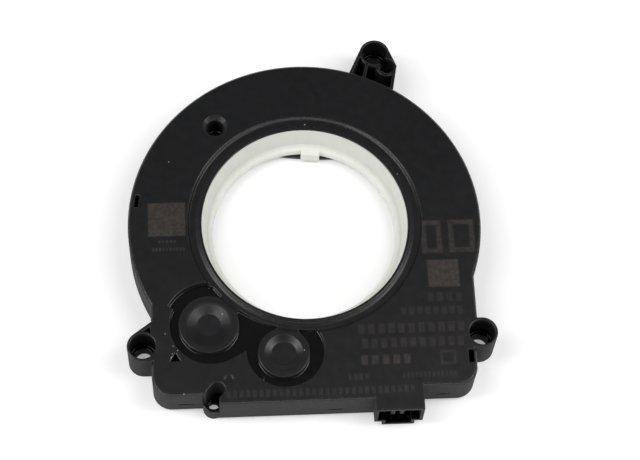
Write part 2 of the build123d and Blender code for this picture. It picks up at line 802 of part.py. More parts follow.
# Rear cover: a plate under the walls, with a skirt, hooks and a ring that guides the hub
with BuildPart() as rear_cover:
    with BuildSketch():
        draw_outline(cover_inset)
        with BuildSketch() as recesses:
            draw_cover_recesses(cover_clearance)
            draw_socket_recess(socket_step_inset, cover_clearance)
        add(recesses.sketch, mode=Mode.SUBTRACT)
    extrude(amount=cover_thickness)
    with BuildSketch(Plane.XY.offset(cover_thickness)):
        draw_outline(skirt_outset)
        with BuildSketch() as inside:
            draw_outline(skirt_outset + skirt_thickness)
            draw_cover_recesses(cover_clearance)
            draw_socket_recess(0, cover_clearance)
        add(inside.sketch, mode=Mode.SUBTRACT)
    extrude(amount=skirt_height)
    with BuildSketch(Plane.XY.offset(cover_thickness)):
        Circle(sleeve_radius + running_fit + upstand_thickness)
    extrude(amount=tooth_base_z - upstand_gap - cover_thickness)
    with BuildSketch(Plane.XY.offset(cover_thickness)):
        Circle(sleeve_radius + running_fit)
    extrude(amount=tooth_base_z, mode=Mode.SUBTRACT)
    with BuildSketch():
        Circle(cover_bore_radius)
        with BuildLine() as ear:
            left = polar(cover_bore_radius, ear_angle + ear_half_angle)
            tip = polar(cover_bore_radius - ear_reach, ear_angle)
            right = polar(cover_bore_radius, ear_angle - ear_half_angle)
            ThreePointArc(left, tip, right)
            Polyline(right, polar(cover_bore_radius + 4 * overshoot, ear_angle), left)
        make_face(ear.edges(), mode=Mode.SUBTRACT)
    extrude(amount=cover_thickness, mode=Mode.SUBTRACT)

    # Bosses that hold the board up, each with a hole for the pin of its post
    with BuildSketch(Plane.XY.offset(cover_thickness)):
        with Locations(board_posts):
            Circle(post_radius)
            Circle(post_pin_radius + post_pin_fit, mode=Mode.SUBTRACT)
    extrude(amount=board_base_z - cover_thickness)

    # Hooks in the snap windows
    for x, y, angle in snaps:
        arm_centre = polar(-skirt_outset - skirt_thickness / 2, angle, (x, y))
        nose_centre = polar(-skirt_outset, angle, (x, y))
        with BuildSketch(Plane.XY.offset(cover_thickness)):
            with Locations(arm_centre):
                Rectangle(skirt_thickness, hook_width, rotation=angle)
        extrude(amount=hook_top_z - cover_thickness)
        with BuildSketch(Plane.XY.offset(window_base_z + hook_clearance)):
            with Locations(nose_centre):
                Rectangle(2 * hook_bite, hook_width, rotation=angle)
        extrude(amount=hook_top_z - window_base_z - hook_clearance)

# Hub: the turning sleeve with its ring of teeth and the drive tongue
with BuildPart() as hub_gear:
    with BuildSketch(Plane.XZ):
        with BuildLine() as profile:
            Polyline(
                (hub_mouth_radius, hub_top_z),
                (hub_ledge_radius, hub_ledge_z),
                (land_radius, land_top_z),
                (land_radius, land_base_z),
                (hub_relief_radius, land_base_z),
                (hub_relief_radius, hub_base_z),
                (sleeve_radius, hub_base_z),
                (sleeve_radius, shoulder_z),
                (neck_radius, shoulder_z),
                (neck_radius, hub_top_z),
                close=True,
            )
        make_face(profile.edges())
    revolve(axis=Axis.Z)
    with BuildSketch(Plane.XY.offset(tooth_base_z)):
        draw_gear(hub_teeth, 0)
        Circle(sleeve_radius - overshoot, mode=Mode.SUBTRACT)
    extrude(amount=tooth_width)
    with BuildSketch(Plane.XY.offset(hub_base_z)):
        with Locations(polar((tongue_radius + tongue_root_radius) / 2, tongue_angle)):
            Rectangle(tongue_root_radius - tongue_radius, tongue_width, rotation=tongue_angle)
    extrude(amount=tongue_top_z - hub_base_z)

# Measuring gears: each turns in a dome and in the carrier plate, over a magnet
gears = {}
magnets = {}
for name, centre, direction, teeth in (
    ("large", large_centre, large_gear_angle, large_gear_teeth),
    ("small", small_centre, small_gear_angle, small_gear_teeth),
):
    with BuildPart() as measuring_gear:
        with BuildSketch(Plane((*centre, tooth_base_z))):
            draw_gear(teeth, meshed_tooth_angle(direction, teeth))
        extrude(amount=tooth_width)
        with BuildSketch(Plane((*centre, tooth_top_z))):
            Circle(journal_radius)
        extrude(amount=journal_length - axial_play)
        with BuildSketch(Plane((*centre, tooth_base_z - gear_boss_length))):
            Circle(gear_boss_radius)
        extrude(amount=gear_boss_length)
        with BuildSketch(Plane((*centre, tooth_base_z - gear_boss_length))):
            Circle(magnet_radius + magnet_fit)
        extrude(amount=magnet_length, mode=Mode.SUBTRACT)
    gears[name] = measuring_gear
    with BuildPart() as magnet:
        with BuildSketch(Plane((*centre, tooth_base_z - gear_boss_length))):
            Circle(magnet_radius)
        extrude(amount=magnet_length)
    magnets[name] = magnet

# Carrier plate under the measuring gears, with a boss down to the board at each post
with BuildPart() as gear_carrier_plate:
    with BuildSketch(Plane.XY.offset(carrier_base_z)):
        draw_outline(board_outset)
        with Locations((carrier_right_x, board_rear_y)):
            Rectangle(4 * ring_radius, 4 * ring_radius, align=(Align.MAX, Align.MAX), mode=Mode.INTERSECT)
        Circle(board_inner_radius, mode=Mode.SUBTRACT)
        with BuildSketch() as openings:
            draw_cover_recesses(board_margin)
            with Locations(large_centre, small_centre):
                Circle(gear_boss_radius + running_fit)
        add(openings.sketch, mode=Mode.SUBTRACT)
    extrude(amount=carrier_thickness)
    with BuildSketch(Plane.XY.offset(board_top_z)):
        with Locations(carrier_posts):
            Circle(post_radius)
    extrude(amount=carrier_base_z - board_top_z)
    with BuildSketch(Plane.XY.offset(board_top_z)):
        with Locations(carrier_posts):
            Circle(post_pin_radius + post_pin_fit)
    extrude(amount=carrier_top_z - board_top_z, mode=Mode.SUBTRACT)

# Circuit board with its holes for the posts and the connector pins
with BuildPart() as circuit_board:
    with BuildSketch(Plane.XY.offset(board_base_z)):
        draw_outline(board_outset)
        with Locations((0, board_rear_y)):
            board_side = 4 * ring_radius
            Rectangle(board_side, board_side, align=(Align.CENTER, Align.MAX), mode=Mode.INTERSECT)
        Circle(board_inner_radius, mode=Mode.SUBTRACT)
        with BuildSketch() as board_openings:
            draw_cover_recesses(board_margin)
            draw_socket_recess(0, board_margin)
            with Locations(board_posts):
                Circle(post_pin_radius + post_pin_fit)
            with Locations((socket_left + socket_width / 2, pin_leg_y)):
                with GridLocations(pin_pitch, 1, pin_count, 1):
                    Circle(pin_pad_hole_radius)
        add(board_openings.sketch, mode=Mode.SUBTRACT)
    extrude(amount=board_thickness)

# Connector pins: a blade in the socket, bent down through the board
pins = []
for index in range(pin_count):
    pin_x = socket_left + socket_width / 2 + (index - (pin_count - 1) / 2) * pin_pitch
    with BuildPart() as pin:
        with BuildSketch(Plane.YZ.offset(pin_x - pin_size / 2)):
            with BuildLine() as bend:
                Polyline(
                    (socket_front_y + pin_setback, pin_z - pin_size / 2),
                    (pin_leg_y - pin_size / 2, pin_z - pin_size / 2),
                    (pin_leg_y - pin_size / 2, board_base_z - pin_tail),
                    (pin_leg_y + pin_size / 2, board_base_z - pin_tail),
                    (pin_leg_y + pin_size / 2, pin_z + pin_size / 2),
                    (socket_front_y + pin_setback, pin_z + pin_size / 2),
                    close=True,
                )
            make_face(bend.edges())
        extrude(amount=pin_size)
        chamfer(pin.faces().sort_by(Axis.Y)[0].edges(), pin_size / 4)
        chamfer(pin.edges().filter_by(Axis.X).sort_by(Axis.Z)[-1], pin_size / 2)
    pins.append(pin)


def draw_lead_row(centre, leads, side):
    """Row of leads that run out from the edge of a chip; side is that edge's middle."""
    count, pitch, reach, width = leads
    turned = side[0] == 0
    outward = reach / 2 - lead_overlap / 2
    distance = hypot(*side) + outward
    row = (centre[0] + side[0] / hypot(*side) * distance, centre[1] + side[1] / hypot(*side) * distance)
    with Locations(row):
        if turned:
            with GridLocations(pitch, 1, count, 1):
                Rectangle(width, reach + lead_overlap)
        else:
            with GridLocations(1, pitch, 1, count):
                Rectangle(reach + lead_overlap, width)


def build_chip(centre, body, rows):
    """Moulded chip that stands on its leads; rows holds the leads of each edge."""
    length, width, chip_height = body
    with BuildPart() as chip:
        with BuildSketch(Plane.XY.offset(board_top_z + chip_standoff)):
            with Locations(centre):
                Rectangle(length, width)
        extrude(amount=chip_height)
        chamfer(chip.faces().sort_by(Axis.Z)[-1].edges(), chip_chamfer)
        with BuildSketch(Plane.XY.offset(board_top_z)):
            for (x, y), leads in rows:
                draw_lead_row(centre, leads, (x * length / 2, y * width / 2))
        extrude(amount=chip_standoff + lead_overlap)
    return chip


def build_moulded_block(centre, body, end, spread):
    """Moulded block with a metal end wrapped round it at either side of its spread."""
    length, width, body_height = body
    end_length, end_width, end_height = end
    with BuildPart() as block:
        with BuildSketch(Plane.XY.offset(board_top_z + chip_standoff)):
            with Locations(centre):
                Rectangle(length, width)
        extrude(amount=body_height)
        chamfer(block.faces().sort_by(Axis.Z)[-1].edges(), 2 * chip_chamfer)
        with BuildSketch(Plane.XY.offset(board_top_z)):
            for side in (-1, 1):
                with Locations((centre[0] + side * spread[0], centre[1] + side * spread[1])):
                    Rectangle(end_length, end_width)
        extrude(amount=end_height)
    return block


def build_blocks(places, size, end_length, turn=0.0):
    """Small block components on the board, each with a proud metal end at either side."""
    length, width, block_height = size
    with BuildPart() as blocks:
        with BuildSketch(Plane.XY.offset(board_top_z)):
            with Locations(places):
                Rectangle(length - end_length, width - 2 * end_step, rotation=turn)
        extrude(amount=block_height - end_step)
        with BuildSketch(Plane.XY.offset(board_top_z)):
            with Locations([Location((*place, 0), turn) for place in places]):
                with GridLocations(length - end_length, 1, 2, 1):
                    Rectangle(end_length, width)
        extrude(amount=block_height)
    return blocks


two_rows = [((side, 0), small_outline_leads) for side in (-1, 1)]
four_rows = [(side, microcontroller_leads) for side in ((-1, 0), (1, 0), (0, -1), (0, 1))]
large_gear_sensor_chip = build_chip(large_centre, sensor_body, two_rows)
small_gear_sensor_chip = build_chip(small_centre, sensor_body, two_rows)
can_transceiver = build_chip(on_board(transceiver_place), transceiver_body, two_rows)
microcontroller = build_chip(on_board(microcontroller_place), microcontroller_body, four_rows)
voltage_regulator = build_chip(
    on_board(regulator_place), regulator_body, [((0, -1), regulator_leads), ((0, 1), regulator_tab)]
)
tantalum_spread = (0, (tantalum_body[1] - tantalum_ends[1]) / 2 + lead_overlap)
tantalum_centre = on_board(tantalum_place)
tantalum_capacitor = build_moulded_block(tantalum_centre, tantalum_body, tantalum_ends, tantalum_spread)
diode_spread = ((diode_body[0] - diode_ends[0]) / 2 + lead_overlap, 0)
suppressor_diode = build_moulded_block(diode_centre, diode_body, diode_ends, diode_spread)
capacitor_centres = [on_board(place) for place in capacitor_places]
ceramic_capacitors = build_blocks(capacitor_centres, capacitor_size, capacitor_end)
resistor_centres = [on_board(place) for place in resistor_places]
chip_resistors = build_blocks(resistor_centres, resistor_size, resistor_end)
common_mode_choke = build_blocks([on_board(choke_place)], choke_size, choke_end, choke_turn)

# Crystal: a drawn metal can with rounded corners on a flat base
with BuildPart() as crystal:
    with BuildSketch(Plane.XY.offset(board_top_z)):
        with Locations(on_board(crystal_place)):
            RectangleRounded(crystal_base[0], crystal_base[1], crystal_corner)
    extrude(amount=crystal_base[2])
    with BuildSketch(Plane.XY.offset(board_top_z + crystal_base[2])):
        with Locations(on_board(crystal_place)):
            RectangleRounded(crystal_body[0], crystal_body[1], crystal_corner)
    extrude(amount=crystal_body[2])

finished = {
    "front_housing": front_housing,
    "rear_cover": rear_cover,
    "hub_gear": hub_gear,
    "large_measuring_gear": gears["large"],
    "small_measuring_gear": gears["small"],
    "large_gear_magnet": magnets["large"],
    "small_gear_magnet": magnets["small"],
    "gear_carrier_plate": gear_carrier_plate,
    "circuit_board": circuit_board,
    "large_gear_sensor_chip": large_gear_sensor_chip,
    "small_gear_sensor_chip": small_gear_sensor_chip,
    "microcontroller": microcontroller,
    "can_transceiver": can_transceiver,
    "voltage_regulator": voltage_regulator,
    "crystal": crystal,
    "tantalum_capacitor": tantalum_capacitor,
    "suppressor_diode": suppressor_diode,
    "common_mode_choke": common_mode_choke,
    "ceramic_capacitors": ceramic_capacitors,
    "chip_resistors": chip_resistors,
}
for index, pin in enumerate(pins):
    finished[f"connector_pin_{index + 1}"] = pin
for name, piece in finished.items():
    piece.part.label = name
    export_step(piece.part, f"parts/{name}.step")
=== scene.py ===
"""Looks of a steering angle sensor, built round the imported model.

Lengths are in metres in the part's own frame: the origin is on the hub's axis in the
rear plane, +Z points out of the face and the connector opens towards -Y.
"""

import math

import bpy
from mathutils import Matrix, Vector

MM = 0.001
FACE_Z = 11.5 * MM

# Camera
CAMERA_AZIMUTH = -7.6
CAMERA_ELEVATION = 66.355
CAMERA_ROLL = 5.191
CAMERA_DISTANCE = 533.69 * MM
CAMERA_SHIFT = (3.864 * MM, -2.003 * MM)
CAMERA_CLIP = (0.05, 20.0)
FOCAL_PIXELS = 2095.8
IMAGE_WIDTH = 640
SENSOR_WIDTH = 36.0

# Stage and light: heights are the upward part of a direction
FLOOR_GAP = 0.05 * MM
FLOOR_SIZE = 6.0
FLOOR_COLOUR = (0.8, 0.8, 0.8, 1.0)
FLOOR_ROUGHNESS = 0.9
FLOOR_GLOW = 0.32
WHITE = (1.0, 1.0, 1.0, 1.0)
HORIZON_STRENGTH = 0.7
ZENITH_STRENGTH = 0.12
HORIZON_HEIGHT = 0.3
ZENITH_HEIGHT = 0.72

# A softbox is its direction from the object, distance, size and power
SOFTBOXES = [
    ("left", (-0.54, -0.03, 0.84), 0.8, (0.24, 0.6), 2.7),
    ("right", (0.54, -0.03, 0.84), 0.8, (0.24, 0.6), 2.7),
    ("low_front", (0.0, -0.92, 0.38), 0.9, (0.9, 0.06), 0.8),
    ("low_left", (-0.8, -0.47, 0.34), 0.9, (0.9, 0.06), 1.7),
    ("low_right", (0.8, -0.47, 0.34), 0.9, (0.9, 0.06), 1.1),
]

# Moulded edges are rounded a little
EDGE_RADIUS = 0.45 * MM
EDGE_SAMPLES = 16

# A noise is its scale in features to the metre, its detail and roughness and, where it is
# drawn out, its scale along each axis. A spread is how far from their middle its values count.
CLOUD_NOISE = (60.0, 4.0, 0.6)
CLOUD_SPREAD = 0.15
TINT_CHANGE = 0.08
GLOSS_NOISE = (500.0, 3.0, 0.5)
GLOSS_SPREAD = 0.2
GLOSS_CHANGE = 0.03
GRAIN_NOISE = (6500.0, 2.0, 0.6)

# Finish of the housing. The upward part of a normal tells floors, slanted edges and walls
# apart, and only floors below DEEP_Z are polished.
DEEP_Z = FACE_Z - 1.2 * MM
FLOOR_UPWARD = 0.5
SLANTED_UPWARD = (0.3, 0.9)
WALL_UPWARD = 0.3
# Painted shade: the floors below DEEP_Z get a darker colour, for the shade that falls in the recesses
FLOOR_PAINTED_SHADE = 0.6
FLOOR_POLISH = 0.16
EDGE_POLISH = 0.06
WALL_DULLNESS = 0.42

# Axes of the lugs in millimetres. Their mouths get painted shade: they are made deep black inside, for the
# shade in the hollow.
LUG_AXES = [(-41.75, -32.15), (43.0, -31.4), (20.75, 48.6)]
LUG_INSIDE_RADIUS = 3.5 * MM
LUG_PAINTED_SHADE = 0.25
LUG_SHADE_METALLIC = 0.6

# Unpigmented plastic of the hub and gears. Outside its land the hub's thin wall is greyed with painted
# shade, for the black housing behind it.
STREAK_NOISE = (700.0, 3.0, 0.65, (1.0, 1.0, 0.06))
STREAK_SPREAD = 0.2
STREAK_SHARE = 0.6
NATURAL_CLOUD_NOISE = (45.0, 3.0, 0.5)
NATURAL_SHADES = (0.93, 1.03)
NATURAL_ROUGHNESS = (0.33, 0.43)
RIPPLE_NOISE = (900.0, 3.0, 0.6, (1.0, 1.0, 0.1))
RIPPLE_HEIGHT = 0.004 * MM
THIN_WALL_RADII = (24.2 * MM, 24.8 * MM)
THIN_WALL_PAINTED_SHADE = (0.3, 0.31, 0.28)
THIN_WALL_SHADE_SHARE = 0.22
LIGHT_DEPTH = 1.5 * MM
LIGHT_SHARE = 0.3
LIGHT_REACH = (1.0, 0.97, 0.85)

# Metal of the crystal's can and the pins
METAL_GLOSS_NOISE = (900.0, 3.0, 0.5)
METAL_GLOSS_CHANGE = 0.2
METAL_GRAIN_NOISE = (3000.0, 2.0, 0.5)
METAL_GRAIN = 0.004 * MM

# Print on the face: a field is its low and high x, its low and high y, how strong it is,
# the pitch of its dashes and the width of its frame, in millimetres, or 0 for a plain field
PRINT_COLOUR = (0.06, 0.048, 0.04)
PRINT_EDGE = 0.2
PRINT_LOWEST_Z = FACE_Z - 0.05 * MM
PRINT_DULLNESS = 0.15
WEAR_NOISE = (1100.0, 3.0, 0.7)
WEAR_SPREAD = 0.12
WORN_STRENGTH = 0.45
DASH_SHARE = 0.62
PRINT_FIELDS = [
    (-39.8, -30.4, -2.7, 6.5, 0.56, 0, 0),
    (-37.4, -32.8, -4.6, -3.8, 0.36, 0.9, 0),
    (-38.9, -30.6, -6.8, -5.9, 0.4, 0.9, 0),
    (30.4, 38.3, -18.9, -11.5, 0.56, 0, 0),
    (29.4, 34.6, -9.6, -0.6, 0.42, 0, 1.3),
    (36.4, 43.0, -9.6, -0.6, 0.42, 0, 1.3),
    (29.9, 38.5, -22.8, -20.4, 0.2, 2.2, 0),
    (23.0, 38.5, -26.2, -24.1, 0.2, 2.0, 0),
    (12.0, 38.6, -30.9, -28.3, 0.26, 2.6, 0),
    (12.7, 38.2, -34.7, -32.2, 0.26, 2.5, 0),
    (12.2, 24.6, -39.0, -36.6, 0.42, 2.55, 0),
    (32.0, 35.9, -39.6, -35.9, 0.28, 0, 0.6),
    (8.8, 13.9, -42.9, -41.3, 0.26, 1.5, 0),
    (22.3, 35.7, -42.8, -41.3, 0.26, 1.1, 0),
    (-21.4, 25.1, -46.5, -44.7, 0.26, 1.6, 0),
]

# Dust on the face, and painted highlights round the triangular dimple: x, y and radius of a speck, in
# millimetres. Its edges are shares of the radius.
DUST_AND_HIGHLIGHT_COLOUR = (0.45, 0.45, 0.44)
SPECK_LOWEST_Z = FACE_Z - 1.0 * MM
SPECK_EDGES = (0.6, 1.2)
DUST_AND_HIGHLIGHT_SPECKS = [
    (1.3, 28.0, 0.16),
    (-34.2, 18.1, 0.12),
    (24.5, 13.1, 0.13),
    (-36.1, -29.1, 0.13),
    (-21.8, -24.2, 0.14),
    (-31.8, -45.0, 0.12),
    (-1.7, -34.6, 0.12),
    # Specks round the triangular dimple: dust, and painted highlights on its edges
    (-34.7, -35.4, 0.15),
    (-34.4, -34.4, 0.11),
    (-33.1, -33.6, 0.13),
    (-34.2, -32.4, 0.1),
]

# Finishes: a node, its material, colour and roughness and, where it is moulded, its depth of grain
HOUSING_BLACK = (0.0048, 0.0049, 0.0058)
HOUSING_ROUGHNESS = 0.33
HOUSING_SPECULAR = 0.45
HOUSING_GRAIN = 0.006 * MM
CHIP_BLACK = (0.02, 0.02, 0.021)
CHIP_NODES = [
    "large_gear_sensor_chip",
    "small_gear_sensor_chip",
    "microcontroller",
    "can_transceiver",
    "voltage_regulator",
    "suppressor_diode",
]
FERRITE_GREY = (0.05, 0.05, 0.055)
GEAR_NATURAL = (0.76, 0.76, 0.69)
MOULDED = [
    ("rear_cover", "cover_black", (0.034, 0.036, 0.033), 0.45, 0.006 * MM),
    ("gear_carrier_plate", "carrier_black", (0.012, 0.012, 0.013), 0.5, 0.006 * MM),
    ("large_gear_magnet", "large_gear_magnet_ferrite", FERRITE_GREY, 0.45, 0.008 * MM),
    ("small_gear_magnet", "small_gear_magnet_ferrite", FERRITE_GREY, 0.45, 0.008 * MM),
    ("circuit_board", "board_green", (0.012, 0.09, 0.035), 0.35, 0.003 * MM),
    ("tantalum_capacitor", "tantalum_yellow", (0.62, 0.36, 0.05), 0.45, 0.004 * MM),
    ("common_mode_choke", "choke_ferrite", (0.045, 0.045, 0.05), 0.5, 0.006 * MM),
    ("ceramic_capacitors", "capacitor_tan", (0.36, 0.25, 0.15), 0.4, 0.003 * MM),
    ("chip_resistors", "resistor_black", (0.03, 0.03, 0.035), 0.3, 0.003 * MM),
] + [(chip, chip + "_black", CHIP_BLACK, 0.5, 0.006 * MM) for chip in CHIP_NODES]
NATURAL = [
    ("hub_gear", "hub_natural", (0.78, 0.79, 0.725)),
    ("large_measuring_gear", "large_measuring_gear_natural", GEAR_NATURAL),
    ("small_measuring_gear", "small_measuring_gear_natural", GEAR_NATURAL),
]
METALLIC = [("crystal", "crystal_can", (0.7, 0.7, 0.68), 0.3)] + [
    (f"connector_pin_{index}", f"pin_{index}_tin", (0.72, 0.71, 0.68), 0.28) for index in range(1, 5)
]

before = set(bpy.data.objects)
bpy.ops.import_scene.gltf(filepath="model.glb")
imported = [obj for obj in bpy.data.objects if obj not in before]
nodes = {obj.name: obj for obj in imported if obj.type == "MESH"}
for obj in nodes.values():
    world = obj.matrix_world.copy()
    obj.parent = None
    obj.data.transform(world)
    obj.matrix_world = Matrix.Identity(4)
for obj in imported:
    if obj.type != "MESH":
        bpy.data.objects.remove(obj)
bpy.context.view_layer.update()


class NodeTree:
    """Material under construction, with a short way to add and join shader nodes."""

    def __init__(self, name):
        self.material = bpy.data.materials.new(name)
        self.material.use_nodes = True
        self.tree = self.material.node_tree
        self.shader = self.tree.nodes["Principled BSDF"]

    def add(self, kind, settings=None, **inputs):
        node = self.tree.nodes.new(kind)
        for key, value in (settings or {}).items():
            setattr(node, key, value)
        for key, value in inputs.items():
            self.feed(node.inputs[key.replace("_", " ")], value)
        return node

    def feed(self, socket, value):
        """Join an output to a socket, or set a plain value on it."""
        if isinstance(value, bpy.types.NodeSocket):
            self.tree.links.new(value, socket)
        else:
            socket.default_value = value

    def math(self, operation, *values):
        node = self.add("ShaderNodeMath", {"operation": operation})
        for socket, value in zip(node.inputs, values):
            self.feed(socket, value)
        return node.outputs[0]

    def position(self):
        return self.add("ShaderNodeTexCoord").outputs["Object"]

    def axes(self, vector):
        parts = self.add("ShaderNodeSeparateXYZ", None, Vector=vector).outputs
        return parts["X"], parts["Y"], parts["Z"]

    def distance_from(self, x, y, centre=(0.0, 0.0)):
        """Distance from an upright axis, whose place is in millimetres."""
        across = self.math("SUBTRACT", x, centre[0] * MM)
        along = self.math("SUBTRACT", y, centre[1] * MM)
        across_squared = self.math("MULTIPLY", across, across)
        along_squared = self.math("MULTIPLY", along, along)
        return self.math("SQRT", self.math("ADD", across_squared, along_squared))

    def ramp(self, value, low, high, to_low=0.0, to_high=1.0):
        node = self.add("ShaderNodeMapRange", {"clamp": True})
        numbers = (value, low, high, to_low, to_high)
        for key, number in zip(("Value", "From Min", "From Max", "To Min", "To Max"), numbers):
            self.feed(node.inputs[key], number)
        return node.outputs["Result"]

    def noise(self, scale, detail, roughness, stretch=None):
        place = self.position()
        if stretch:
            place = self.add("ShaderNodeMapping", None, Vector=place, Scale=stretch).outputs["Vector"]
        node = self.add("ShaderNodeTexNoise", None, Vector=place, Scale=scale)
        self.feed(node.inputs["Detail"], detail)
        self.feed(node.inputs["Roughness"], roughness)
        return node.outputs["Fac"]

    def patches(self, noise, spread, low=0.0, high=1.0):
        """Noise drawn out over a spread about its middle."""
        return self.ramp(noise, 0.5 - spread, 0.5 + spread, low, high)

    def mix(self, factor, first, second):
        node = self.add("ShaderNodeMix", {"data_type": "RGBA"}, Factor=factor)
        self.feed(node.inputs[6], first)
        self.feed(node.inputs[7], second)
        return node.outputs[2]

    def rounded_normal(self):
        return self.add("ShaderNodeBevel", {"samples": EDGE_SAMPLES}, Radius=EDGE_RADIUS).outputs["Normal"]

    def bump(self, height, distance, normal=None):
        node = self.add("ShaderNodeBump", None, Distance=distance, Height=height)
        if normal:
            self.feed(node.inputs["Normal"], normal)
        return node.outputs["Normal"]

    def finish(self, **inputs):
        for key, value in inputs.items():
            self.feed(self.shader.inputs[key.replace("_", " ")], value)
        return self.material


def opaque(colour, factor=1.0):
    return tuple(channel * factor for channel in colour) + (1.0,)


def inside(tree, x, y, low_x, high_x, low_y, high_y):
    """1 inside a rectangle of the face and 0 outside it, with soft sides."""
    edge = PRINT_EDGE * MM
    sides = [
        tree.ramp(x, low_x * MM - edge, low_x * MM + edge),
        tree.ramp(x, high_x * MM - edge, high_x * MM + edge, 1.0, 0.0),
        tree.ramp(y, low_y * MM - edge, low_y * MM + edge),
        tree.ramp(y, high_y * MM - edge, high_y * MM + edge, 1.0, 0.0),
    ]
    return tree.math("MINIMUM", tree.math("MINIMUM", *sides[:2]), tree.math("MINIMUM", *sides[2:]))


def dashes(tree, x, low_x, high_x, pitch):
    """Row of whole dashes between two ends, at about a pitch."""
    gap_share = 1 - DASH_SHARE
    count = round((high_x - low_x) / pitch + gap_share)
    true_pitch = (high_x - low_x) / (count - gap_share)
    soft = PRINT_EDGE / true_pitch / 2
    along = tree.math("DIVIDE", tree.math("SUBTRACT", x, low_x * MM), true_pitch * MM)
    step = tree.math("FRACT", tree.math("ADD", along, gap_share / 2))
    off_centre = tree.math("ABSOLUTE", tree.math("SUBTRACT", step, 0.5))
    return tree.ramp(off_centre, DASH_SHARE / 2 - soft, DASH_SHARE / 2 + soft, 1.0, 0.0)


def print_mask(tree, x, y, z):
    """Strength of the print at a point of the face, from 0 to 1."""
    total = None
    for low_x, high_x, low_y, high_y, strength, pitch, stroke in PRINT_FIELDS:
        field = inside(tree, x, y, low_x, high_x, low_y, high_y)
        if stroke:
            hollow = inside(tree, x, y, low_x + stroke, high_x - stroke, low_y + stroke, high_y - stroke)
            field = tree.math("SUBTRACT", field, hollow)
        if pitch:
            field = tree.math("MULTIPLY", field, dashes(tree, x, low_x, high_x, pitch))
        field = tree.math("MULTIPLY", field, strength)
        total = field if total is None else tree.math("MAXIMUM", total, field)
    on_face = tree.math("GREATER_THAN", z, PRINT_LOWEST_Z)
    worn = tree.patches(tree.noise(*WEAR_NOISE), WEAR_SPREAD, WORN_STRENGTH, 1.0)
    return tree.math("MULTIPLY", tree.math("MULTIPLY", total, on_face), worn)


def dust_and_highlight_mask(tree, x, y, z):
    """1 on a speck and 0 elsewhere; the specks are dust, and round the triangular dimple also painted
    highlights.
    """
    total = None
    for speck_x, speck_y, radius in DUST_AND_HIGHLIGHT_SPECKS:
        away = tree.distance_from(x, y, (speck_x, speck_y))
        solid, clear = (radius * edge * MM for edge in SPECK_EDGES)
        speck = tree.ramp(away, solid, clear, 1.0, 0.0)
        total = speck if total is None else tree.math("MAXIMUM", total, speck)
    return tree.math("MULTIPLY", total, tree.math("GREATER_THAN", z, SPECK_LOWEST_Z))


def lug_mask(tree, x, y, z):
    """1 inside the mouth of a lug and 0 elsewhere."""
    nearest = None
    for axis in LUG_AXES:
        away = tree.distance_from(x, y, axis)
        nearest = away if nearest is None else tree.math("MINIMUM", nearest, away)
    within = tree.math("LESS_THAN", nearest, LUG_INSIDE_RADIUS)
    return tree.math("MULTIPLY", within, tree.math("LESS_THAN", z, DEEP_Z))


def finish_masks(tree, z, normal):
    """Masks of the floors of the pocket, lugs and slot, which are polished and darkened with painted
    shade, the slanted edges and the walls.
    """
    upward = tree.axes(normal)[2]
    low = tree.math("LESS_THAN", z, DEEP_Z)
    floors = tree.math("MULTIPLY", tree.math("GREATER_THAN", upward, FLOOR_UPWARD), low)
    steeper, flatter = SLANTED_UPWARD
    above = tree.math("GREATER_THAN", upward, steeper)
    slanted = tree.math("MULTIPLY", above, tree.math("LESS_THAN", upward, flatter))
    walls = tree.math("LESS_THAN", tree.math("ABSOLUTE", upward), WALL_UPWARD)
    return floors, slanted, walls


def moulded_surface(tree, colour, roughness):
    """Faintly cloudy colour, uneven gloss and fine eroded grain."""
    cloud = tree.patches(tree.noise(*CLOUD_NOISE), CLOUD_SPREAD)
    tint = tree.mix(cloud, opaque(colour, 1 - TINT_CHANGE), opaque(colour, 1 + TINT_CHANGE))
    glossier, duller = roughness - GLOSS_CHANGE, roughness + GLOSS_CHANGE
    gloss = tree.patches(tree.noise(*GLOSS_NOISE), GLOSS_SPREAD, glossier, duller)
    return tint, gloss, tree.noise(*GRAIN_NOISE)


def moulded(name, colour, roughness, grain):
    """Moulded plastic, or the moulded or pressed body of an electronic part."""
    tree = NodeTree(name)
    tint, gloss, height = moulded_surface(tree, colour, roughness)
    normal = tree.bump(height, grain, tree.rounded_normal())
    return tree.finish(Base_Color=tint, Roughness=gloss, Normal=normal)


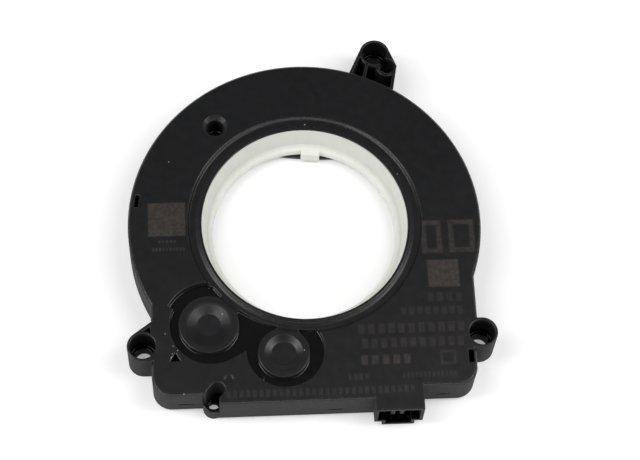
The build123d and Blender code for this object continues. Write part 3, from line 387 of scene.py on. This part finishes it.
def housing_plastic():
    """Moulded black with polished floors and edges, dull walls, print and dust; painted shade darkens the
    recessed floors and blackens the lug mouths, and pale specks paint highlights round the triangular
    dimple.
    """
    tree = NodeTree("housing_black")
    tint, gloss, height = moulded_surface(tree, HOUSING_BLACK, HOUSING_ROUGHNESS)
    x, y, z = tree.axes(tree.position())
    rounded = tree.rounded_normal()
    floors, slanted, walls = finish_masks(tree, z, rounded)
    # Painted shade: the recessed floors are darkened
    tint = tree.mix(floors, tint, opaque(HOUSING_BLACK, FLOOR_PAINTED_SHADE))
    gloss = tree.math("SUBTRACT", gloss, tree.math("MULTIPLY", floors, FLOOR_POLISH))
    gloss = tree.math("SUBTRACT", gloss, tree.math("MULTIPLY", slanted, EDGE_POLISH))
    gloss = tree.math("ADD", gloss, tree.math("MULTIPLY", walls, WALL_DULLNESS))
    grained = tree.math("SUBTRACT", 1.0, tree.math("MAXIMUM", floors, slanted))
    height = tree.math("MULTIPLY", height, grained)
    printed = print_mask(tree, x, y, z)
    tint = tree.mix(printed, tint, opaque(PRINT_COLOUR))
    gloss = tree.math("ADD", gloss, tree.math("MULTIPLY", printed, PRINT_DULLNESS))
    # Pale specks: dust, and painted highlights round the triangular dimple
    tint = tree.mix(dust_and_highlight_mask(tree, x, y, z), tint, opaque(DUST_AND_HIGHLIGHT_COLOUR))
    # Painted shade: inside the lug mouths the surface is a metal of almost no colour, which reflects
    # almost nothing, as a deep hollow does
    lug_painted_shade = lug_mask(tree, x, y, z)
    tint = tree.mix(lug_painted_shade, tint, opaque(HOUSING_BLACK, LUG_PAINTED_SHADE))
    return tree.finish(
        Base_Color=tint,
        Roughness=gloss,
        Metallic=tree.math("MULTIPLY", lug_painted_shade, LUG_SHADE_METALLIC),
        Specular_IOR_Level=HOUSING_SPECULAR,
        Normal=tree.bump(height, HOUSING_GRAIN, rounded),
    )


def natural_plastic(name, colour):
    """Unpigmented plastic: a little light passes through it, with flow streaks down its walls, and painted
    shade greys it beyond the hub's land.
    """
    tree = NodeTree(name)
    streaks = tree.patches(tree.noise(*STREAK_NOISE), STREAK_SPREAD)
    cloud = tree.patches(tree.noise(*NATURAL_CLOUD_NOISE), CLOUD_SPREAD)
    streaks = tree.math("MULTIPLY", streaks, STREAK_SHARE)
    shade = tree.math("ADD", streaks, tree.math("MULTIPLY", cloud, 1 - STREAK_SHARE))
    darker, lighter = NATURAL_SHADES
    tint = tree.mix(shade, opaque(colour, darker), opaque(colour, lighter))
    x, y = tree.axes(tree.position())[:2]
    # Painted shade: further from the hub's axis than its land the colour turns greyer, for the black
    # housing behind the thin wall
    thin_wall_shade = tree.ramp(tree.distance_from(x, y), *THIN_WALL_RADII, 0.0, THIN_WALL_SHADE_SHARE)
    ripple = tree.noise(*RIPPLE_NOISE)
    return tree.finish(
        Base_Color=tree.mix(thin_wall_shade, tint, opaque(THIN_WALL_PAINTED_SHADE)),
        Roughness=tree.patches(tree.noise(*GLOSS_NOISE), GLOSS_SPREAD, *NATURAL_ROUGHNESS),
        Subsurface_Weight=LIGHT_SHARE,
        Subsurface_Radius=LIGHT_REACH,
        Subsurface_Scale=LIGHT_DEPTH,
        Normal=tree.bump(ripple, RIPPLE_HEIGHT, tree.rounded_normal()),
    )


def metal(name, colour, roughness):
    """Drawn or plated metal with a faint unevenness."""
    tree = NodeTree(name)
    smoother = roughness * (1 - METAL_GLOSS_CHANGE)
    rougher = roughness * (1 + METAL_GLOSS_CHANGE)
    return tree.finish(
        Base_Color=opaque(colour),
        Metallic=1.0,
        Roughness=tree.patches(tree.noise(*METAL_GLOSS_NOISE), GLOSS_SPREAD, smoother, rougher),
        Normal=tree.bump(tree.noise(*METAL_GRAIN_NOISE), METAL_GRAIN),
    )


def dress(node, material):
    mesh = nodes[node].data
    mesh.materials.clear()
    mesh.materials.append(material)


def dress_all():
    dress("front_housing", housing_plastic())
    for node, name, colour, roughness, grain in MOULDED:
        dress(node, moulded(name, colour, roughness, grain))
    for node, name, colour in NATURAL:
        dress(node, natural_plastic(name, colour))
    for node, name, colour, roughness in METALLIC:
        dress(node, metal(name, colour, roughness))


def seen_directly(tree):
    """1 for a camera, mirror or see-through ray, and 0 for one that lights."""
    path = tree.add("ShaderNodeLightPath").outputs
    mirrored = tree.math("MAXIMUM", path["Is Camera Ray"], path["Is Glossy Ray"])
    return tree.math("MAXIMUM", mirrored, path["Is Transmission Ray"])


def lay_floor():
    """Pale floor that keeps shadows and is lifted to white where it is seen directly."""
    bpy.ops.mesh.primitive_plane_add(size=FLOOR_SIZE, location=(0, 0, -FLOOR_GAP))
    floor = bpy.context.object
    floor.name = "floor"
    tree = NodeTree("floor_pale")
    tree.finish(Base_Color=FLOOR_COLOUR, Roughness=FLOOR_ROUGHNESS, Specular_IOR_Level=0.0)
    plain = tree.shader.outputs[0]
    glow = tree.add("ShaderNodeEmission", None, Color=WHITE, Strength=FLOOR_GLOW)
    lifted = tree.add("ShaderNodeAddShader")
    tree.feed(lifted.inputs[0], plain)
    tree.feed(lifted.inputs[1], glow.outputs[0])
    shown = tree.add("ShaderNodeMixShader")
    tree.feed(shown.inputs[0], seen_directly(tree))
    tree.feed(shown.inputs[1], plain)
    tree.feed(shown.inputs[2], lifted.outputs[0])
    tree.feed(tree.tree.nodes["Material Output"].inputs["Surface"], shown.outputs[0])
    floor.data.materials.append(tree.material)


def light_world():
    """Studio that is bright towards its horizon and dim overhead."""
    world = bpy.data.worlds.new("studio")
    bpy.context.scene.world = world
    world.use_nodes = True
    tree = world.node_tree
    background = tree.nodes["Background"]
    background.inputs["Color"].default_value = WHITE
    direction = tree.nodes.new("ShaderNodeTexCoord").outputs["Generated"]
    axes = tree.nodes.new("ShaderNodeSeparateXYZ")
    tree.links.new(direction, axes.inputs["Vector"])
    strength = tree.nodes.new("ShaderNodeMapRange")
    strength.interpolation_type = "SMOOTHSTEP"
    tree.links.new(axes.outputs["Z"], strength.inputs["Value"])
    strength.inputs["From Min"].default_value = HORIZON_HEIGHT
    strength.inputs["From Max"].default_value = ZENITH_HEIGHT
    strength.inputs["To Min"].default_value = HORIZON_STRENGTH
    strength.inputs["To Max"].default_value = ZENITH_STRENGTH
    tree.links.new(strength.outputs["Result"], background.inputs["Strength"])


def hang_softboxes():
    for name, direction, distance, (width, length), power in SOFTBOXES:
        lamp = bpy.data.lights.new("softbox_" + name, "AREA")
        lamp.shape = "RECTANGLE"
        lamp.size = width
        lamp.size_y = length
        lamp.energy = power
        box = bpy.data.objects.new("softbox_" + name, lamp)
        bpy.context.scene.collection.objects.link(box)
        box.location = Vector(direction).normalized() * distance
        box.rotation_mode = "QUATERNION"
        box.rotation_quaternion = Vector(direction).to_track_quat("Z", "Y")


def set_camera():
    azimuth, elevation, roll = (math.radians(a) for a in (CAMERA_AZIMUTH, CAMERA_ELEVATION, CAMERA_ROLL))
    level_reach = math.cos(elevation)
    back = Vector((math.sin(azimuth) * level_reach, -math.cos(azimuth) * level_reach, math.sin(elevation)))
    level = Vector((0, 0, 1)).cross(back).normalized()
    lift = back.cross(level)
    right = math.cos(roll) * level + math.sin(roll) * lift
    up = -math.sin(roll) * level + math.cos(roll) * lift
    data = bpy.data.cameras.new("camera")
    data.sensor_width = SENSOR_WIDTH
    data.lens = FOCAL_PIXELS / IMAGE_WIDTH * SENSOR_WIDTH
    data.clip_start, data.clip_end = CAMERA_CLIP
    camera = bpy.data.objects.new("camera", data)
    bpy.context.scene.collection.objects.link(camera)
    camera.rotation_mode = "QUATERNION"
    camera.rotation_quaternion = Matrix((right, up, back)).transposed().to_quaternion()
    target = Vector((0, 0, FACE_Z))
    camera.location = target + back * CAMERA_DISTANCE + right * CAMERA_SHIFT[0] + up * CAMERA_SHIFT[1]
    bpy.context.scene.camera = camera


dress_all()
lay_floor()
light_world()
hang_softboxes()
set_camera()
bpy.context.scene.view_settings.view_transform = "Standard"
